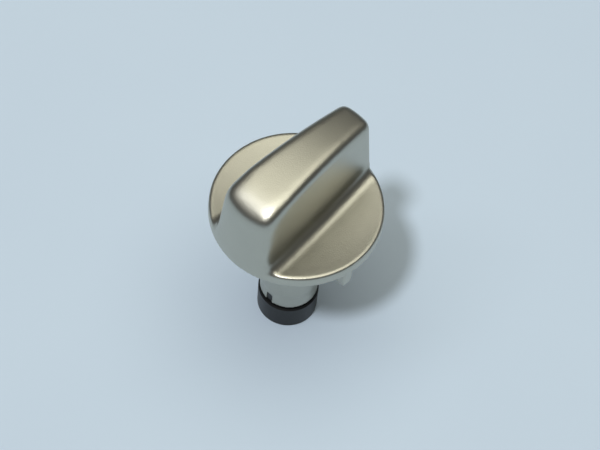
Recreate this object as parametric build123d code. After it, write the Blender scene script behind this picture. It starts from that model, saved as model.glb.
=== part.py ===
"""Push-on control knob for a six millimetre shaft with a flat.

A satin silver moulding carries a round dished disc with a tall tapered grip across it
and a long tubular stem below. A black shaft bush fills the stem and ends in a wider
collar, and a spring leaf inside the bush presses on the shaft's flat.

Millimetres, +Z up along the shaft. The origin is on the shaft axis at the foot of the
collar, where the knob stands. The narrow end of the grip points along +Y.
"""
from build123d import *
from math import asin, cos, radians, sin, sqrt, tan
import os

# Heights along the shaft
collar_height = 8.3
collar_groove = 0.7
stem_length = 34.5
skirt_height = 3.3

# Disc
disc_diameter = 42.0
skirt_draft = 2.2
disc_wall = 1.7
skirt_wall = 1.6
dish_depth = 1.4
rim_rounding = 0.7

# Grip, with its width at the crest across the shaft before the edges are rounded
grip_height = 20.0
grip_width = 11.8
grip_taper = 4.4
flank_draft = 2.4
end_slope = 5.5
top_arch_radius = 100.0
crest_offset = 1.9
brow_start = 12.5
brow_radius = 12.0
foot_corner = 0.9
wide_corner = 4.0
narrow_corner = 2.4
top_rounding = 2.2
foot_radius = 3.0
grip_wall = 2.0

# Stem
stem_diameter = 15.0
stem_step = 0.12
stem_land_height = 5.3
stem_root_radius = 1.2
stem_bore_clearance = 0.05
stem_web = 2.0
stem_core_diameter = 9.0
notch_width = 1.7
notch_height = 3.4

# Stop finger under the disc
finger_width = 2.9
finger_thickness = 2.55
finger_reach = 12.2
finger_distance = 16.9

# Shaft bush
collar_diameter = 15.8
collar_edge = 0.35
bush_diameter = 11.0
bush_depth = 29.0
seat_diameter = 13.0
seat_depth = 1.5
bush_lead = 0.6
key_clearance = 0.1
key_inset = 0.35
end_clearance = 0.3

# Shaft bore and its spring
shaft_diameter = 6.0
shaft_clearance = 0.05
lead_clearance = 0.25
shaft_flat_height = 4.5
round_bore_depth = 12.0
flat_bore_depth = 18.0
mouth_chamfer = 0.5
spring_thickness = 0.35
spring_width = 4.0
spring_length = 15.0
spring_bow = 0.45
spring_recess = 0.75
spring_clearance = 0.05

# Heights and radii that follow
stem_end = collar_height + collar_groove
skirt_foot = stem_end + stem_length
rim_height = skirt_foot + skirt_height
crest_height = rim_height + grip_height
brow_turn = radians(75)
disc_radius = disc_diameter / 2
stem_radius = stem_diameter / 2
dish_radius = (disc_radius**2 + dish_depth**2) / (2 * dish_depth)
grip_root = rim_height - dish_depth - disc_wall / 2
bush_top = stem_end + bush_depth
web_foot = bush_top + end_clearance
shaft_bore_radius = shaft_diameter / 2 + shaft_clearance
lead_radius = shaft_diameter / 2 + lead_clearance
far_out = disc_radius * 1.5


def dish_height(radius, depth=0.0):
    """Height of the dished face at a radius, or of the face that lies depth below it."""
    centre = rim_height - dish_depth + dish_radius
    return centre - sqrt((dish_radius + depth) ** 2 - radius**2)


def dish_arc(outer, inner, depth=0.0):
    """Arc of the dished face between two radii, drawn as radius and height."""
    middle = (outer + inner) / 2
    points = [(radius, dish_height(radius, depth)) for radius in (outer, middle, inner)]
    return ThreePointArc(*points)


def turned(outline):
    """Solid of revolution of an outline drawn as radius and height."""
    return revolve(Plane.XZ * make_face(outline.line), axis=Axis.Z)


def wall_radius(height):
    """Radius of the outer wall: the skirt below the rim, the grip's sloped ends above."""
    above_rim = height - rim_height
    slope = end_slope if above_rim > 0 else skirt_draft
    return disc_radius - above_rim * tan(radians(slope))


def disc():
    """Dished disc with a rounded rim and a skirt, hollow below."""
    inside = disc_radius - skirt_wall
    shoulder = rim_height - rim_rounding
    turn = rim_rounding * (1 - sin(radians(45)))
    with BuildLine() as outline:
        Line((0, dish_height(0, disc_wall)), (0, dish_height(0)))
        dish_arc(0, disc_radius - rim_rounding)
        ThreePointArc(
            (disc_radius - rim_rounding, dish_height(disc_radius - rim_rounding)),
            (disc_radius - turn, dish_height(disc_radius - rim_rounding) - turn),
            (disc_radius, shoulder),
        )
        Line((disc_radius, shoulder), (wall_radius(skirt_foot), skirt_foot))
        Line((wall_radius(skirt_foot), skirt_foot), (inside, skirt_foot))
        Line((inside, skirt_foot), (inside, dish_height(inside, disc_wall)))
        dish_arc(inside, 0, disc_wall)
    return turned(outline)


def grip_sides(height, inset=0.0):
    """Trapezium between the two flanks at a height, far longer than the grip."""
    fall = crest_height - height
    half_width = grip_width / 2 + fall * tan(radians(flank_draft)) - inset
    spread = far_out * tan(radians(grip_taper))
    corners = [
        (-half_width - spread, -far_out),
        (half_width + spread, -far_out),
        (half_width - spread, far_out),
        (-half_width + spread, far_out),
    ]
    return Pos(0, 0, height) * make_face(Polyline(*corners, close=True))


def grip_plan(height, inset=0.0):
    """Plan of the grip at a height: tapered flanks, round ends and rounded corners."""
    share = max(height - rim_height - foot_radius, 0.0) / (grip_height - foot_radius)
    plan = (grip_sides(height, inset) & Pos(0, 0, height) * Circle(wall_radius(height) - inset)).face()
    for corner_at_top, corners in (
        (wide_corner, lambda shape: shape.vertices().filter_by(lambda corner: corner.Y < 0)),
        (narrow_corner, lambda shape: shape.vertices().sort_by(Axis.Y)[-2:]),
    ):
        corner = foot_corner + (corner_at_top - foot_corner) * share
        plan = fillet(corners(plan), max(corner - inset / 2, foot_corner / 2)).face()
    return plan


def under_arch(drop=0.0):
    """Everything under the arched top of the grip, or under an arch that lies lower.

    Towards the wide end the arch turns down more tightly, in a brow that starts at
    brow_start from the shaft axis.
    """
    radius = top_arch_radius - drop
    centre_height = crest_height - top_arch_radius
    lean = asin((brow_start + crest_offset) / top_arch_radius)
    brow = brow_radius - drop
    brow_centre = (
        crest_offset - (top_arch_radius - brow_radius) * sin(lean),
        centre_height + (top_arch_radius - brow_radius) * cos(lean),
    )
    reach = sqrt(radius**2 - far_out**2)
    finish = (crest_offset + far_out, centre_height + reach)
    turn = (crest_offset - radius * sin(lean), centre_height + radius * cos(lean))
    half, whole = lean + brow_turn / 2, lean + brow_turn
    middle = (brow_centre[0] - brow * sin(half), brow_centre[1] + brow * cos(half))
    low = (brow_centre[0] - brow * sin(whole), brow_centre[1] + brow * cos(whole))
    with BuildLine() as outline:
        ThreePointArc(finish, (crest_offset, crest_height - drop), turn)
        ThreePointArc(turn, middle, low)
        Polyline(low, (low[0], 0), (finish[0], 0), finish)
    return extrude(Plane.YZ * make_face(outline.line), amount=disc_radius, both=True)


def grip():
    """The grip with its arched and rounded top, without the rounding at its foot."""
    heights = [grip_root, rim_height, rim_height + foot_radius, crest_height]
    block = loft([grip_plan(height) for height in heights], ruled=True) & under_arch()
    top = [face for face in block.faces() if face.normal_at().Z > 0.5]
    outline = [edge for face in top for edge in face.edges() if abs((edge @ 0.5).Y + brow_start) > 0.1]
    return fillet(outline, top_rounding)


def foot_rounding():
    """The hollow rounding that runs from each flank of the grip into the dish."""
    top = rim_height + foot_radius
    bar = loft([grip_sides(skirt_foot), grip_sides(top + 1)], ruled=True)
    with BuildLine() as outline:
        dish_arc(0, far_out)
        Line((far_out, dish_height(far_out)), (far_out, skirt_foot))
        Line((far_out, skirt_foot), (0, skirt_foot))
        Line((0, skirt_foot), (0, dish_height(0)))
    width = 2 * disc_radius + 2 * foot_radius
    joined = (turned(outline) + bar) & Pos(0, 0, rim_height) * Box(width, width, 4 * grip_height)
    flank_foot = grip_width / 2 + (crest_height - dish_height(0)) * tan(radians(flank_draft))
    corners = [
        edge
        for edge in joined.edges()
        if abs(abs((edge @ 0.5).X) - flank_foot) < 1 and abs((edge @ 0.5).Z - dish_height(0)) < 1
        and edge.length > disc_radius
    ]
    rounded = fillet(corners, foot_radius)
    inner = disc_radius - rim_rounding
    with BuildLine() as outline:
        Polyline(
            (0, grip_root),
            (inner, grip_root),
            (inner, rim_height),
            (inner - foot_radius * tan(radians(end_slope)), top),
            (0, top),
            (0, grip_root),
        )
    return rounded & turned(outline)


def cavity():
    """The hollow inside the grip, open at the underside of the disc."""
    heights = [skirt_foot - grip_wall, rim_height, rim_height + foot_radius, crest_height]
    return loft([grip_plan(height, grip_wall) for height in heights], ruled=True) & under_arch(grip_wall)


def stem():
    """Stem with its wider upper length and a rounded root under the disc."""
    upper_radius = stem_radius + stem_step
    step_height = stem_end + stem_land_height
    root = dish_height(upper_radius + stem_root_radius, disc_wall)
    turn = stem_root_radius * (1 - sin(radians(45)))
    with BuildLine() as outline:
        Polyline(
            (0, stem_end),
            (stem_radius, stem_end),
            (stem_radius, step_height),
            (upper_radius, step_height + stem_step),
            (upper_radius, root - stem_root_radius),
        )
        ThreePointArc(
            (upper_radius, root - stem_root_radius),
            (upper_radius + turn, root - turn),
            (upper_radius + stem_root_radius, root),
        )
        Polyline(
            (upper_radius + stem_root_radius, root),
            (upper_radius + stem_root_radius, root + disc_wall / 2),
            (0, rim_height),
            (0, stem_end),
        )
    return turned(outline)


def upright(radius, low, high):
    """Round bar on the shaft axis between two heights."""
    return Pos(0, 0, low) * Cylinder(radius, high - low, align=(Align.CENTER, Align.CENTER, Align.MIN))


def stem_hollow():
    """What the bush, its seat and the upper core take out of the stem."""
    bore = upright(bush_diameter / 2 + stem_bore_clearance, stem_end, web_foot)
    seat = upright(seat_diameter / 2 + stem_bore_clearance, stem_end, stem_end + seat_depth)
    core = upright(stem_core_diameter / 2, web_foot + stem_web, rim_height)
    return bore + seat + core + key_block(notch_width, stem_diameter, notch_height)


def key_block(width, reach, height):
    """Upright block from the shaft axis towards -Y, standing at the end of the stem."""
    return Pos(0, 0, stem_end) * Box(width, reach, height, align=(Align.CENTER, Align.MAX, Align.MIN))


def stop_finger():
    """Square finger that hangs from the underside of the disc on the +X side."""
    foot = skirt_foot - finger_reach
    root = dish_height(finger_distance, disc_wall / 2)
    size = (finger_thickness, finger_width, root - foot)
    return Pos(finger_distance, 0, foot) * Box(*size, align=(Align.CENTER, Align.CENTER, Align.MIN))


def knob_body():
    """The whole silver moulding."""
    full = disc() + foot_rounding() + grip() + stem() + stop_finger()
    column = upright(stem_radius + stem_step, 0, rim_height)
    return full - (cavity() - column) - stem_hollow()


def shaft_bush():
    """Black bush with its collar, seat, key and the bore for the shaft."""
    collar = collar_diameter / 2
    barrel = bush_diameter / 2
    seat = seat_diameter / 2
    with BuildLine() as outline:
        Polyline(
            (0, 0),
            (collar - collar_edge, 0),
            (collar, collar_edge),
            (collar, collar_height - collar_edge),
            (collar - collar_edge, collar_height),
            (seat, collar_height),
            (seat, stem_end + seat_depth),
            (barrel, stem_end + seat_depth),
            (barrel, bush_top - bush_lead),
            (barrel - bush_lead, bush_top),
            (0, bush_top),
            (0, 0),
        )
    key = key_block(notch_width - 2 * key_clearance, stem_radius - key_inset, notch_height - key_clearance)
    return turned(outline) + key - shaft_space()


def shaft_space():
    """The shaft's round lead, its flatted length and the recess for the spring."""
    flat = shaft_flat_height - shaft_diameter / 2 + shaft_clearance
    depth = round_bore_depth + flat_bore_depth
    lead = upright(lead_radius, 0, round_bore_depth)
    flatted = upright(shaft_bore_radius, round_bore_depth, depth)
    beyond = Pos(0, flat, round_bore_depth) * Box(
        shaft_diameter * 2, shaft_diameter, flat_bore_depth, align=(Align.CENTER, Align.MIN, Align.MIN)
    )
    recess = Pos(0, 0, round_bore_depth + flat_bore_depth / 2) * Box(
        spring_width + 2 * spring_clearance,
        flat + spring_recess,
        spring_length + 2 * spring_clearance,
        align=(Align.CENTER, Align.MIN, Align.CENTER),
    )
    wide = lead_radius + mouth_chamfer
    mouth = Cone(wide, lead_radius, mouth_chamfer, align=(Align.CENTER, Align.CENTER, Align.MIN))
    return lead + (flatted - beyond) + recess + mouth


def shaft_spring():
    """Bowed spring leaf that lies in the recess behind the shaft's flat."""
    back = shaft_flat_height - shaft_diameter / 2 + shaft_clearance + spring_recess
    low = round_bore_depth + (flat_bore_depth - spring_length) / 2
    high = low + spring_length
    middle = (low + high) / 2
    front = back - spring_thickness
    with BuildLine() as outline:
        ThreePointArc((back, low), (back - spring_bow, middle), (back, high))
        Line((back, high), (front, high))
        ThreePointArc((front, high), (front - spring_bow, middle), (front, low))
        Line((front, low), (back, low))
    return extrude(Plane.YZ * make_face(outline.line), amount=spring_width / 2, both=True)


PIECES = {
    "knob_body": knob_body,
    "shaft_bush": shaft_bush,
    "shaft_spring": shaft_spring,
}

if __name__ == "__main__":
    os.makedirs("parts", exist_ok=True)
    for name, piece in PIECES.items():
        export_step(piece(), f"parts/{name}.step")
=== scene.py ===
"""Looks of a push-on control knob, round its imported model.

Laid out as a Blender add-on and run as a script. The silver moulding gets a softened skin
and its satin paint here, the black bush and the spring leaf get their finishes, and a pale
bench with a softbox, a key lamp, a lit card and the camera is set up round them.

Lengths are in metres unless a name ends in mm. The shaft is along +Z, the knob stands on
the bench at z = 0, and the grip runs along Y with its wide end at -Y.
"""

import math

import bmesh
import bpy
from bpy.props import FloatProperty, FloatVectorProperty, PointerProperty
from mathutils import Euler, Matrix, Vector


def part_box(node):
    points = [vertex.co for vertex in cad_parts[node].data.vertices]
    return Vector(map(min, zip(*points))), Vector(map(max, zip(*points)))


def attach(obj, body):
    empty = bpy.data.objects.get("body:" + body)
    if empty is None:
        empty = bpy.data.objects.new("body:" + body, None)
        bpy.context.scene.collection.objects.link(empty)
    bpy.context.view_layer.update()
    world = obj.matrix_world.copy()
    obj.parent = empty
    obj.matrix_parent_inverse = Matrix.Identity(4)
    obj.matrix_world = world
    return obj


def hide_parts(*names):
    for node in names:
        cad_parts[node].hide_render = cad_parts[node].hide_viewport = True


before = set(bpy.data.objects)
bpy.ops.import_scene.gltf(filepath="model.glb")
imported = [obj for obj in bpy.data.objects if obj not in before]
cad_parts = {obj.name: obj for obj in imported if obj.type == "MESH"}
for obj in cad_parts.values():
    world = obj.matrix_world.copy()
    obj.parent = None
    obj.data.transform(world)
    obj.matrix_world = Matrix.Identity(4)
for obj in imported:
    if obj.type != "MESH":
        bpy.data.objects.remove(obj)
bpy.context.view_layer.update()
KNOB_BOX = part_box("knob_body")

# Top of the disc's rim, 20 mm below the top of the grip
RIM_TOP = 0.0468
# The rim's narrow rounding: outside this radius, and this far below and above its top
RIM_RADIUS = 0.0198
RIM_BELOW = 0.0012
RIM_ABOVE = 0.0004

# The skin is rubbed above this height only, so the stem's open end keeps its edges
STEM_KEPT = 0.010
# The grip, from this far above the rim
GRIP_ABOVE = 0.0017
# The heel, where the wide end comes down to the rim: how far below the rim's top it starts,
# how far from the shaft, and half its width
HEEL_BELOW = 0.0014
HEEL_START = 0.0105
HEEL_HALF_WIDTH = 0.0102
# The upright corners of the wide end: how far above the rim and how far from the shaft
CORNERS_ABOVE = 0.001
CORNERS_START = 0.0100

# Strokes over the whole skin, over the grip and over each place at the wide end, the share of
# the way that a stroke moves a point to the middle of its neighbours, and how much further in
# each stroke at the wide end stops than the one before
SKIN_STROKES = 1
GRIP_STROKES = 14
WIDE_END_STROKES = 26
STROKE_STRENGTH = 0.5
STROKE_INSET = 0.00012

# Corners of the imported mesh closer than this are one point
MERGE_DISTANCE = 1e-6

# Sockets of a node that mixes two colours
MIX_A = 6
MIX_B = 7
MIX_RESULT = 2

# Width of the camera's sensor, and the nearest distance that it sees
SENSOR_WIDTH_MM = 36.0
NEAREST_SEEN = 0.01

bl_info = {
    "name": "Control knob",
    "version": (1, 0, 0),
    "blender": (4, 5, 0),
    "location": "View3D > Sidebar > Knob",
    "description": "Finishes, bench, lamps and camera for a push-on control knob",
    "category": "Object",
}


def linear(hex_colour):
    """Linear colour of an sRGB hex value such as #C0BFB4."""
    values = [int(hex_colour[i:i + 2], 16) / 255 for i in (1, 3, 5)]
    return tuple(v / 12.92 if v <= 0.04045 else ((v + 0.055) / 1.055) ** 2.4 for v in values)


def opaque(colour):
    """A colour property with the fourth value that a socket wants."""
    return colour[:] + (1.0,)


def per_metre(size_mm):
    """Scale of a pattern whose features are this many millimetres across."""
    return 1000.0 / size_mm


def add_node(tree, kind, values=None, links=None, **settings):
    """A node with its settings, its unlinked socket values and its links.

    A socket is given by its name, or by its number where several share a name.
    """
    node = tree.nodes.new(kind)
    for name, value in settings.items():
        setattr(node, name, value)
    for socket, value in (values or {}).items():
        node.inputs[socket].default_value = value
    for socket, source in (links or {}).items():
        tree.links.new(source, node.inputs[socket])
    return node


def new_material(name):
    """A material with its node tree, its surface shader and its object coordinates."""
    material = bpy.data.materials.new(name)
    material.use_nodes = True
    tree = material.node_tree
    tree.nodes.clear()
    output = add_node(tree, "ShaderNodeOutputMaterial")
    shader = add_node(tree, "ShaderNodeBsdfPrincipled")
    tree.links.new(shader.outputs["BSDF"], output.inputs["Surface"])
    place = add_node(tree, "ShaderNodeTexCoord").outputs["Object"]
    return material, tree, shader, place


def satin_silver(finish):
    """Aluminium-flake paint, satin, on a moulding: a warm grey metal with a soft, wide sheen.

    The flakes lie nearly flat, each a little tilted, so the highlight is soft and wide and the
    paint darkens away from it. Sprayed paint is slightly uneven: its tone and sheen drift by a
    few percent over some millimetres, and the flakes sparkle a little round a highlight.
    """
    drift_mm = 9.0
    # A cluster of flakes is about 0.1 mm across, and is drawn at 0.3 mm so that it shows.
    flake_mm = 0.3
    flake_depth = 0.00005
    drift_share = 0.65
    flake_share = 0.35
    roughness_spread = 0.04
    material, tree, shader, place = new_material("satin_silver_paint")
    shader.inputs["Metallic"].default_value = 1.0
    drift = add_node(
        tree, "ShaderNodeTexNoise",
        {"Scale": per_metre(drift_mm), "Detail": 3.0, "Roughness": 0.55}, {"Vector": place},
    )
    flake = add_node(
        tree, "ShaderNodeTexNoise",
        {"Scale": per_metre(flake_mm), "Detail": 2.0, "Roughness": 0.7}, {"Vector": place},
    )
    spread = add_node(
        tree, "ShaderNodeMath", {1: flake_share}, {0: flake.outputs["Fac"]},
        operation="MULTIPLY",
    )
    mottle = add_node(
        tree, "ShaderNodeMath", {1: drift_share},
        {0: drift.outputs["Fac"], 2: spread.outputs["Value"]}, operation="MULTIPLY_ADD",
    )
    tone = add_node(
        tree, "ShaderNodeMix",
        {MIX_A: opaque(finish.silver_shade), MIX_B: opaque(finish.silver_light)},
        {0: mottle.outputs["Value"]}, data_type="RGBA",
    )
    tree.links.new(tone.outputs[MIX_RESULT], shader.inputs["Base Color"])
    sheen = add_node(
        tree, "ShaderNodeMapRange",
        {"To Min": finish.silver_roughness - roughness_spread,
         "To Max": finish.silver_roughness + roughness_spread},
        {"Value": mottle.outputs["Value"]},
    )
    tree.links.new(sheen.outputs["Result"], shader.inputs["Roughness"])
    bump = add_node(
        tree, "ShaderNodeBump", {"Strength": 0.8, "Distance": flake_depth},
        {"Height": flake.outputs["Fac"]},
    )
    tree.links.new(bump.outputs["Normal"], shader.inputs["Normal"])
    return material


def black_nylon(finish):
    """Moulded glass-filled nylon: near black, half matt, with a faint spark-eroded texture."""
    drift_mm = 4.0
    # The eroded texture is about 0.1 mm, and is drawn at 0.35 mm so that it shows.
    texture_mm = 0.35
    texture_depth = 0.00002
    roughness_spread = 0.05
    material, tree, shader, place = new_material("moulded_black_nylon")
    shader.inputs["IOR"].default_value = 1.45
    drift = add_node(
        tree, "ShaderNodeTexNoise", {"Scale": per_metre(drift_mm), "Detail": 3.0},
        {"Vector": place},
    )
    tone = add_node(
        tree, "ShaderNodeMix",
        {MIX_A: opaque(finish.nylon_shade), MIX_B: opaque(finish.nylon_light)},
        {0: drift.outputs["Fac"]}, data_type="RGBA",
    )
    tree.links.new(tone.outputs[MIX_RESULT], shader.inputs["Base Color"])
    sheen = add_node(
        tree, "ShaderNodeMapRange",
        {"To Min": finish.nylon_roughness - roughness_spread,
         "To Max": finish.nylon_roughness + roughness_spread},
        {"Value": drift.outputs["Fac"]},
    )
    tree.links.new(sheen.outputs["Result"], shader.inputs["Roughness"])
    texture = add_node(
        tree, "ShaderNodeTexNoise", {"Scale": per_metre(texture_mm), "Detail": 2.0},
        {"Vector": place},
    )
    bump = add_node(
        tree, "ShaderNodeBump", {"Strength": 0.3, "Distance": texture_depth},
        {"Height": texture.outputs["Fac"]},
    )
    tree.links.new(bump.outputs["Normal"], shader.inputs["Normal"])
    return material


def spring_strip(finish):
    """Cold-rolled spring steel: a bright cool metal with rolling lines along the leaf."""
    # Rolling lines are about 0.05 mm apart, and are drawn at 0.12 mm so that they show. They
    # run along the leaf, so the pattern is stretched that way.
    line_mm = 0.12
    line_stretch = (1.0, 1.0, 0.03)
    smoothest = 0.22
    roughest = 0.38
    material, tree, shader, place = new_material("cold_rolled_spring_steel")
    shader.inputs["Metallic"].default_value = 1.0
    along = add_node(tree, "ShaderNodeMapping", {"Scale": line_stretch}, {"Vector": place})
    lines = add_node(
        tree, "ShaderNodeTexNoise", {"Scale": per_metre(line_mm), "Detail": 2.0},
        {"Vector": along.outputs["Vector"]},
    )
    tone = add_node(
        tree, "ShaderNodeMix",
        {MIX_A: opaque(finish.steel_shade), MIX_B: opaque(finish.steel_light)},
        {0: lines.outputs["Fac"]}, data_type="RGBA",
    )
    tree.links.new(tone.outputs[MIX_RESULT], shader.inputs["Base Color"])
    sheen = add_node(
        tree, "ShaderNodeMapRange", {"To Min": smoothest, "To Max": roughest},
        {"Value": lines.outputs["Fac"]},
    )
    tree.links.new(sheen.outputs["Result"], shader.inputs["Roughness"])
    return material


def bench_top(bench):
    """Matt painted board under the knob: pale, even and without a sheen, its tone drifting."""
    drift_mm = 60.0
    material, tree, shader, place = new_material("matt_painted_board")
    shader.inputs["Roughness"].default_value = 0.85
    drift = add_node(
        tree, "ShaderNodeTexNoise", {"Scale": per_metre(drift_mm), "Detail": 2.0},
        {"Vector": place},
    )
    tone = add_node(
        tree, "ShaderNodeMix",
        {MIX_A: opaque(bench.floor_shade), MIX_B: opaque(bench.floor_light)},
        {0: drift.outputs["Fac"]}, data_type="RGBA",
    )
    tree.links.new(tone.outputs[MIX_RESULT], shader.inputs["Base Color"])
    return material


def dress(node, material):
    """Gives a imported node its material."""
    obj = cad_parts[node]
    obj.data.materials.clear()
    obj.data.materials.append(material)


class KnobFinish(bpy.types.PropertyGroup):
    """Colours and sheens of the knob's own surfaces."""
    silver_light: FloatVectorProperty(
        name="Silver, light", description="Paint where it is brightest",
        default=linear("#C0BFB4"), subtype="COLOR", min=0.0, max=1.0)
    silver_shade: FloatVectorProperty(
        name="Silver, shade", description="Paint where it is darkest",
        default=linear("#AFAEA4"), subtype="COLOR", min=0.0, max=1.0)
    silver_roughness: FloatProperty(
        name="Silver roughness", description="Middle roughness of the paint",
        default=0.34, min=0.05, max=1.0, subtype="FACTOR")
    skin_grid: FloatProperty(
        name="Skin grid", description="Spacing of the moulding's even skin",
        default=0.00035, min=0.0002, unit="LENGTH")
    nylon_light: FloatVectorProperty(
        name="Nylon, light", description="Nylon where it is brightest",
        default=linear("#0B0C0E"), subtype="COLOR", min=0.0, max=1.0)
    nylon_shade: FloatVectorProperty(
        name="Nylon, shade", description="Nylon where it is darkest",
        default=linear("#060708"), subtype="COLOR", min=0.0, max=1.0)
    nylon_roughness: FloatProperty(
        name="Nylon roughness", description="Middle roughness of the nylon",
        default=0.42, min=0.05, max=1.0, subtype="FACTOR")
    steel_light: FloatVectorProperty(
        name="Spring steel, light", description="Steel between the rolling lines",
        default=linear("#C8CBCD"), subtype="COLOR", min=0.0, max=1.0)
    steel_shade: FloatVectorProperty(
        name="Spring steel, shade", description="Steel in the rolling lines",
        default=linear("#B4B8BB"), subtype="COLOR", min=0.0, max=1.0)


class KnobBench(bpy.types.PropertyGroup):
    """Bench, lamps and camera."""
    floor_light: FloatVectorProperty(
        name="Bench, light", description="Bench where it is brightest",
        default=linear("#C4D5E6"), subtype="COLOR", min=0.0, max=1.0)
    floor_shade: FloatVectorProperty(
        name="Bench, shade", description="Bench where it is darkest",
        default=linear("#C0D1E3"), subtype="COLOR", min=0.0, max=1.0)
    floor_size: FloatProperty(
        name="Bench size", description="Side of the square bench",
        default=6.0, min=0.5, unit="LENGTH")
    room_colour: FloatVectorProperty(
        name="Room", description="Colour of the room round the bench",
        default=linear("#F0F1F0"), subtype="COLOR", min=0.0, max=1.0)
    room_strength: FloatProperty(
        name="Room strength", description="Brightness of the room", default=0.11, min=0.0)
    box_size: FloatProperty(
        name="Softbox size", description="Diameter of the round softbox overhead",
        default=1.1, min=0.1, unit="LENGTH")
    box_height: FloatProperty(
        name="Softbox height", description="From the bench to the softbox",
        default=0.95, min=0.2, unit="LENGTH")
    box_shift: FloatVectorProperty(
        name="Softbox shift", description="Where the softbox hangs, across and along the grip",
        default=(0.01, 0.06), size=2, subtype="TRANSLATION", unit="LENGTH")
    box_colour: FloatVectorProperty(
        name="Softbox colour", description="Colour of the softbox's light",
        default=linear("#FFFCEB"), subtype="COLOR", min=0.0, max=1.0)
    box_power: FloatProperty(
        name="Softbox power", description="Power of the softbox",
        default=5.1, min=0.0, unit="POWER")
    key_azimuth: FloatProperty(
        name="Key lamp azimuth", description="Direction of the key lamp round the shaft, from +X",
        default=math.radians(-85), subtype="ANGLE")
    key_elevation: FloatProperty(
        name="Key lamp elevation", description="Height of the key lamp above the bench",
        default=math.radians(64), subtype="ANGLE")
    key_width: FloatProperty(
        name="Key lamp width", description="How wide the distant key lamp looks from the knob",
        default=math.radians(6), min=0.0, subtype="ANGLE")
    key_strength: FloatProperty(
        name="Key lamp strength", description="Light of the key lamp on a square metre",
        default=1.5, min=0.0)
    card_azimuth: FloatProperty(
        name="Card azimuth",
        description="Direction of the small lit card round the shaft, from +X",
        default=math.radians(-127), subtype="ANGLE")
    card_elevation: FloatProperty(
        name="Card elevation", description="Height of the small lit card above the bench",
        default=math.radians(54), subtype="ANGLE")
    card_size: FloatProperty(
        name="Card size", description="Diameter of the small lit card",
        default=0.2, min=0.01, unit="LENGTH")
    card_distance: FloatProperty(
        name="Card distance", description="From the top of the grip to the small lit card",
        default=0.7, min=0.2, unit="LENGTH")
    card_power: FloatProperty(
        name="Card power", description="Power of the small lit card",
        default=0.26, min=0.0, unit="POWER")
    camera_place: FloatVectorProperty(
        name="Camera place", description="Where the camera stands",
        default=(0.114449, -0.142346, 0.324161), subtype="TRANSLATION", unit="LENGTH")
    camera_turn: FloatVectorProperty(
        name="Camera turn", description="How the camera is turned",
        default=(math.radians(32.3296), math.radians(-3.3805), math.radians(43.7298)),
        subtype="EULER")
    camera_lens: FloatProperty(
        name="Lens", description="Focal length on a 36 mm wide sensor",
        default=84.0, min=10.0, unit="CAMERA")


class KNOB_OT_body(bpy.types.Operator):
    """Give the silver moulding a softened skin and its satin paint"""
    bl_idname = "knob.body"
    bl_label = "Knob body"

    def execute(self, context):
        finish = context.scene.knob_finish
        piece = self.even_skin(context, finish.skin_grid)
        self.soften(piece.data)
        piece.data.materials.clear()
        piece.data.materials.append(satin_silver(finish))
        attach(piece, "root")
        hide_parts("knob_body")
        return {"FINISHED"}

    def even_skin(self, context, grid):
        """The moulding as a new piece, with its surface drawn again on an even grid."""
        shape = bmesh.new()
        shape.from_mesh(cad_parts["knob_body"].data)
        bmesh.ops.remove_doubles(shape, verts=shape.verts, dist=MERGE_DISTANCE)
        mesh = bpy.data.meshes.new("moulding_skin")
        shape.to_mesh(mesh)
        shape.free()
        piece = bpy.data.objects.new("moulding", mesh)
        context.scene.collection.objects.link(piece)
        skin = piece.modifiers.new("skin", "REMESH")
        skin.mode = "VOXEL"
        skin.voxel_size = grid
        skin.adaptivity = 0.0
        context.view_layer.update()
        evaluated = piece.evaluated_get(context.evaluated_depsgraph_get())
        even = bpy.data.meshes.new_from_object(evaluated)
        piece.modifiers.clear()
        piece.data = even
        return piece

    def soften(self, mesh):
        """Rubs the even skin down.

        One stroke over all of it but the rim's rounding and the stem's open end takes out the
        steps of the grid. The grip and its wide end get more, because they are rounder on the
        real knob.
        """
        shape = bmesh.new()
        shape.from_mesh(mesh)
        skin = [v for v in shape.verts if v.co.z > STEM_KEPT and not self.on_rim(v.co)]
        self.rub(shape, skin, SKIN_STROKES)
        grip = [v for v in shape.verts if v.co.z > RIM_TOP + GRIP_ABOVE]
        self.rub(shape, grip, GRIP_STROKES)
        self.rub_out(shape, self.on_heel)
        self.rub_out(shape, self.on_corners)
        for face in shape.faces:
            face.smooth = True
        shape.to_mesh(mesh)
        shape.free()

    def on_rim(self, place):
        """Whether a point is on the rim's narrow rounding, which the first stroke leaves out."""
        level = RIM_TOP - RIM_BELOW < place.z < RIM_TOP + RIM_ABOVE
        return level and math.hypot(place.x, place.y) > RIM_RADIUS

    def on_heel(self, place, inset):
        """Whether a point is where the wide end comes down to the rim."""
        return (place.z > RIM_TOP - HEEL_BELOW and place.y < -HEEL_START - inset
                and abs(place.x) < HEEL_HALF_WIDTH - inset)

    def on_corners(self, place, inset):
        """Whether a point is on the wide end above the rim, with its upright corners."""
        return place.z > RIM_TOP + CORNERS_ABOVE + inset and place.y < -CORNERS_START - inset

    def rub_out(self, shape, covers):
        """Rubs a place with strokes that each cover a little less, so that they fade out."""
        for stroke in range(WIDE_END_STROKES):
            inset = STROKE_INSET * stroke
            self.rub(shape, [v for v in shape.verts if covers(v.co, inset)], 1)

    def rub(self, shape, verts, strokes):
        """Evens out these vertices this many times."""
        for _ in range(strokes):
            bmesh.ops.smooth_vert(
                shape, verts=verts, factor=STROKE_STRENGTH,
                use_axis_x=True, use_axis_y=True, use_axis_z=True,
            )


class KNOB_OT_bush(bpy.types.Operator):
    """Give the shaft bush its black nylon"""
    bl_idname = "knob.bush"
    bl_label = "Shaft bush"

    def execute(self, context):
        dress("shaft_bush", black_nylon(context.scene.knob_finish))
        return {"FINISHED"}


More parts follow.
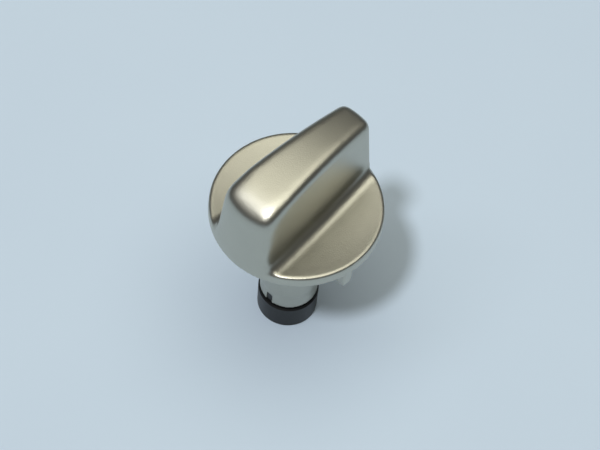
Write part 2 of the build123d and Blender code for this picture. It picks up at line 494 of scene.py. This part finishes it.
class KNOB_OT_spring(bpy.types.Operator):
    """Give the spring leaf its rolled steel"""
    bl_idname = "knob.spring"
    bl_label = "Shaft spring"

    def execute(self, context):
        dress("shaft_spring", spring_strip(context.scene.knob_finish))
        return {"FINISHED"}


class KNOB_OT_stage(bpy.types.Operator):
    """Set up the bench, the lamps, the room and the camera"""
    bl_idname = "knob.stage"
    bl_label = "Bench, lamps and camera"

    def execute(self, context):
        bench = context.scene.knob_bench
        self.add_floor(context, bench)
        self.add_room(context, bench)
        self.add_softbox(context, bench)
        self.add_key(context, bench)
        self.add_card(context, bench)
        self.add_camera(context, bench)
        return {"FINISHED"}

    def add_floor(self, context, bench):
        """The bench, one flat square."""
        mesh = bpy.data.meshes.new("bench_top")
        shape = bmesh.new()
        bmesh.ops.create_grid(shape, x_segments=1, y_segments=1, size=bench.floor_size / 2)
        shape.to_mesh(mesh)
        shape.free()
        floor = bpy.data.objects.new("bench_top", mesh)
        floor.data.materials.append(bench_top(bench))
        context.scene.collection.objects.link(floor)

    def add_room(self, context, bench):
        """An even, dim room, so that the shadows aren't black."""
        world = bpy.data.worlds.new("room")
        world.use_nodes = True
        tree = world.node_tree
        tree.nodes.clear()
        output = add_node(tree, "ShaderNodeOutputWorld")
        room = add_node(
            tree, "ShaderNodeBackground",
            {"Color": opaque(bench.room_colour), "Strength": bench.room_strength},
        )
        tree.links.new(room.outputs["Background"], output.inputs["Surface"])
        context.scene.world = world

    def round_lamp(self, name, size, power):
        """A flat round lamp."""
        lamp = bpy.data.lights.new(name, "AREA")
        lamp.shape = "DISK"
        lamp.size = size
        lamp.energy = power
        return lamp

    def towards(self, azimuth, elevation):
        """Direction of a lamp, seen from the knob."""
        flat = math.cos(elevation)
        return Vector((flat * math.cos(azimuth), flat * math.sin(azimuth), math.sin(elevation)))

    def hang(self, context, lamp, place, side=None):
        """Hangs a lamp, which shines straight down, or back from the side that is given."""
        obj = bpy.data.objects.new(lamp.name, lamp)
        obj.location = place
        if side is not None:
            obj.rotation_euler = side.to_track_quat("Z", "Y").to_euler()
        context.scene.collection.objects.link(obj)

    def add_softbox(self, context, bench):
        """The large round lamp overhead."""
        lamp = self.round_lamp("softbox", bench.box_size, bench.box_power)
        lamp.color = bench.box_colour
        self.hang(context, lamp, (bench.box_shift[0], bench.box_shift[1], bench.box_height))

    def add_key(self, context, bench):
        """A distant lamp, which lights the whole bench alike."""
        lamp = bpy.data.lights.new("key_lamp", "SUN")
        lamp.angle = bench.key_width
        lamp.energy = bench.key_strength
        side = self.towards(bench.key_azimuth, bench.key_elevation)
        self.hang(context, lamp, side, side)

    def add_card(self, context, bench):
        """A small round card of light, turned to the top of the grip."""
        lamp = self.round_lamp("lit_card", bench.card_size, bench.card_power)
        side = self.towards(bench.card_azimuth, bench.card_elevation)
        knob_top = Vector((0, 0, KNOB_BOX[1].z))
        self.hang(context, lamp, knob_top + bench.card_distance * side, side)

    def add_camera(self, context, bench):
        """The camera, with colours shown as they are."""
        data = bpy.data.cameras.new("camera")
        data.sensor_fit = "HORIZONTAL"
        data.sensor_width = SENSOR_WIDTH_MM
        data.lens = bench.camera_lens
        data.clip_start = NEAREST_SEEN
        camera = bpy.data.objects.new("camera", data)
        camera.location = bench.camera_place
        camera.rotation_euler = Euler(bench.camera_turn)
        context.scene.collection.objects.link(camera)
        context.scene.camera = camera
        context.scene.view_settings.view_transform = "Standard"


class KNOB_PT_panel(bpy.types.Panel):
    """The knob's steps and settings"""
    bl_idname = "KNOB_PT_panel"
    bl_label = "Control knob"
    bl_space_type = "VIEW_3D"
    bl_region_type = "UI"
    bl_category = "Knob"

    def draw(self, context):
        for step in STEPS:
            self.layout.operator(step.bl_idname)
        for group in (context.scene.knob_finish, context.scene.knob_bench):
            box = self.layout.box()
            for name in group.__annotations__:
                box.prop(group, name)


STEPS = (KNOB_OT_body, KNOB_OT_bush, KNOB_OT_spring, KNOB_OT_stage)
CLASSES = (KnobFinish, KnobBench) + STEPS + (KNOB_PT_panel,)


def register():
    for cls in CLASSES:
        bpy.utils.register_class(cls)
    bpy.types.Scene.knob_finish = PointerProperty(type=KnobFinish)
    bpy.types.Scene.knob_bench = PointerProperty(type=KnobBench)


def unregister():
    del bpy.types.Scene.knob_bench
    del bpy.types.Scene.knob_finish
    for cls in reversed(CLASSES):
        bpy.utils.unregister_class(cls)


def main():
    register()
    bpy.ops.knob.body()
    bpy.ops.knob.bush()
    bpy.ops.knob.spring()
    bpy.ops.knob.stage()


if __name__ == "__main__":
    main()
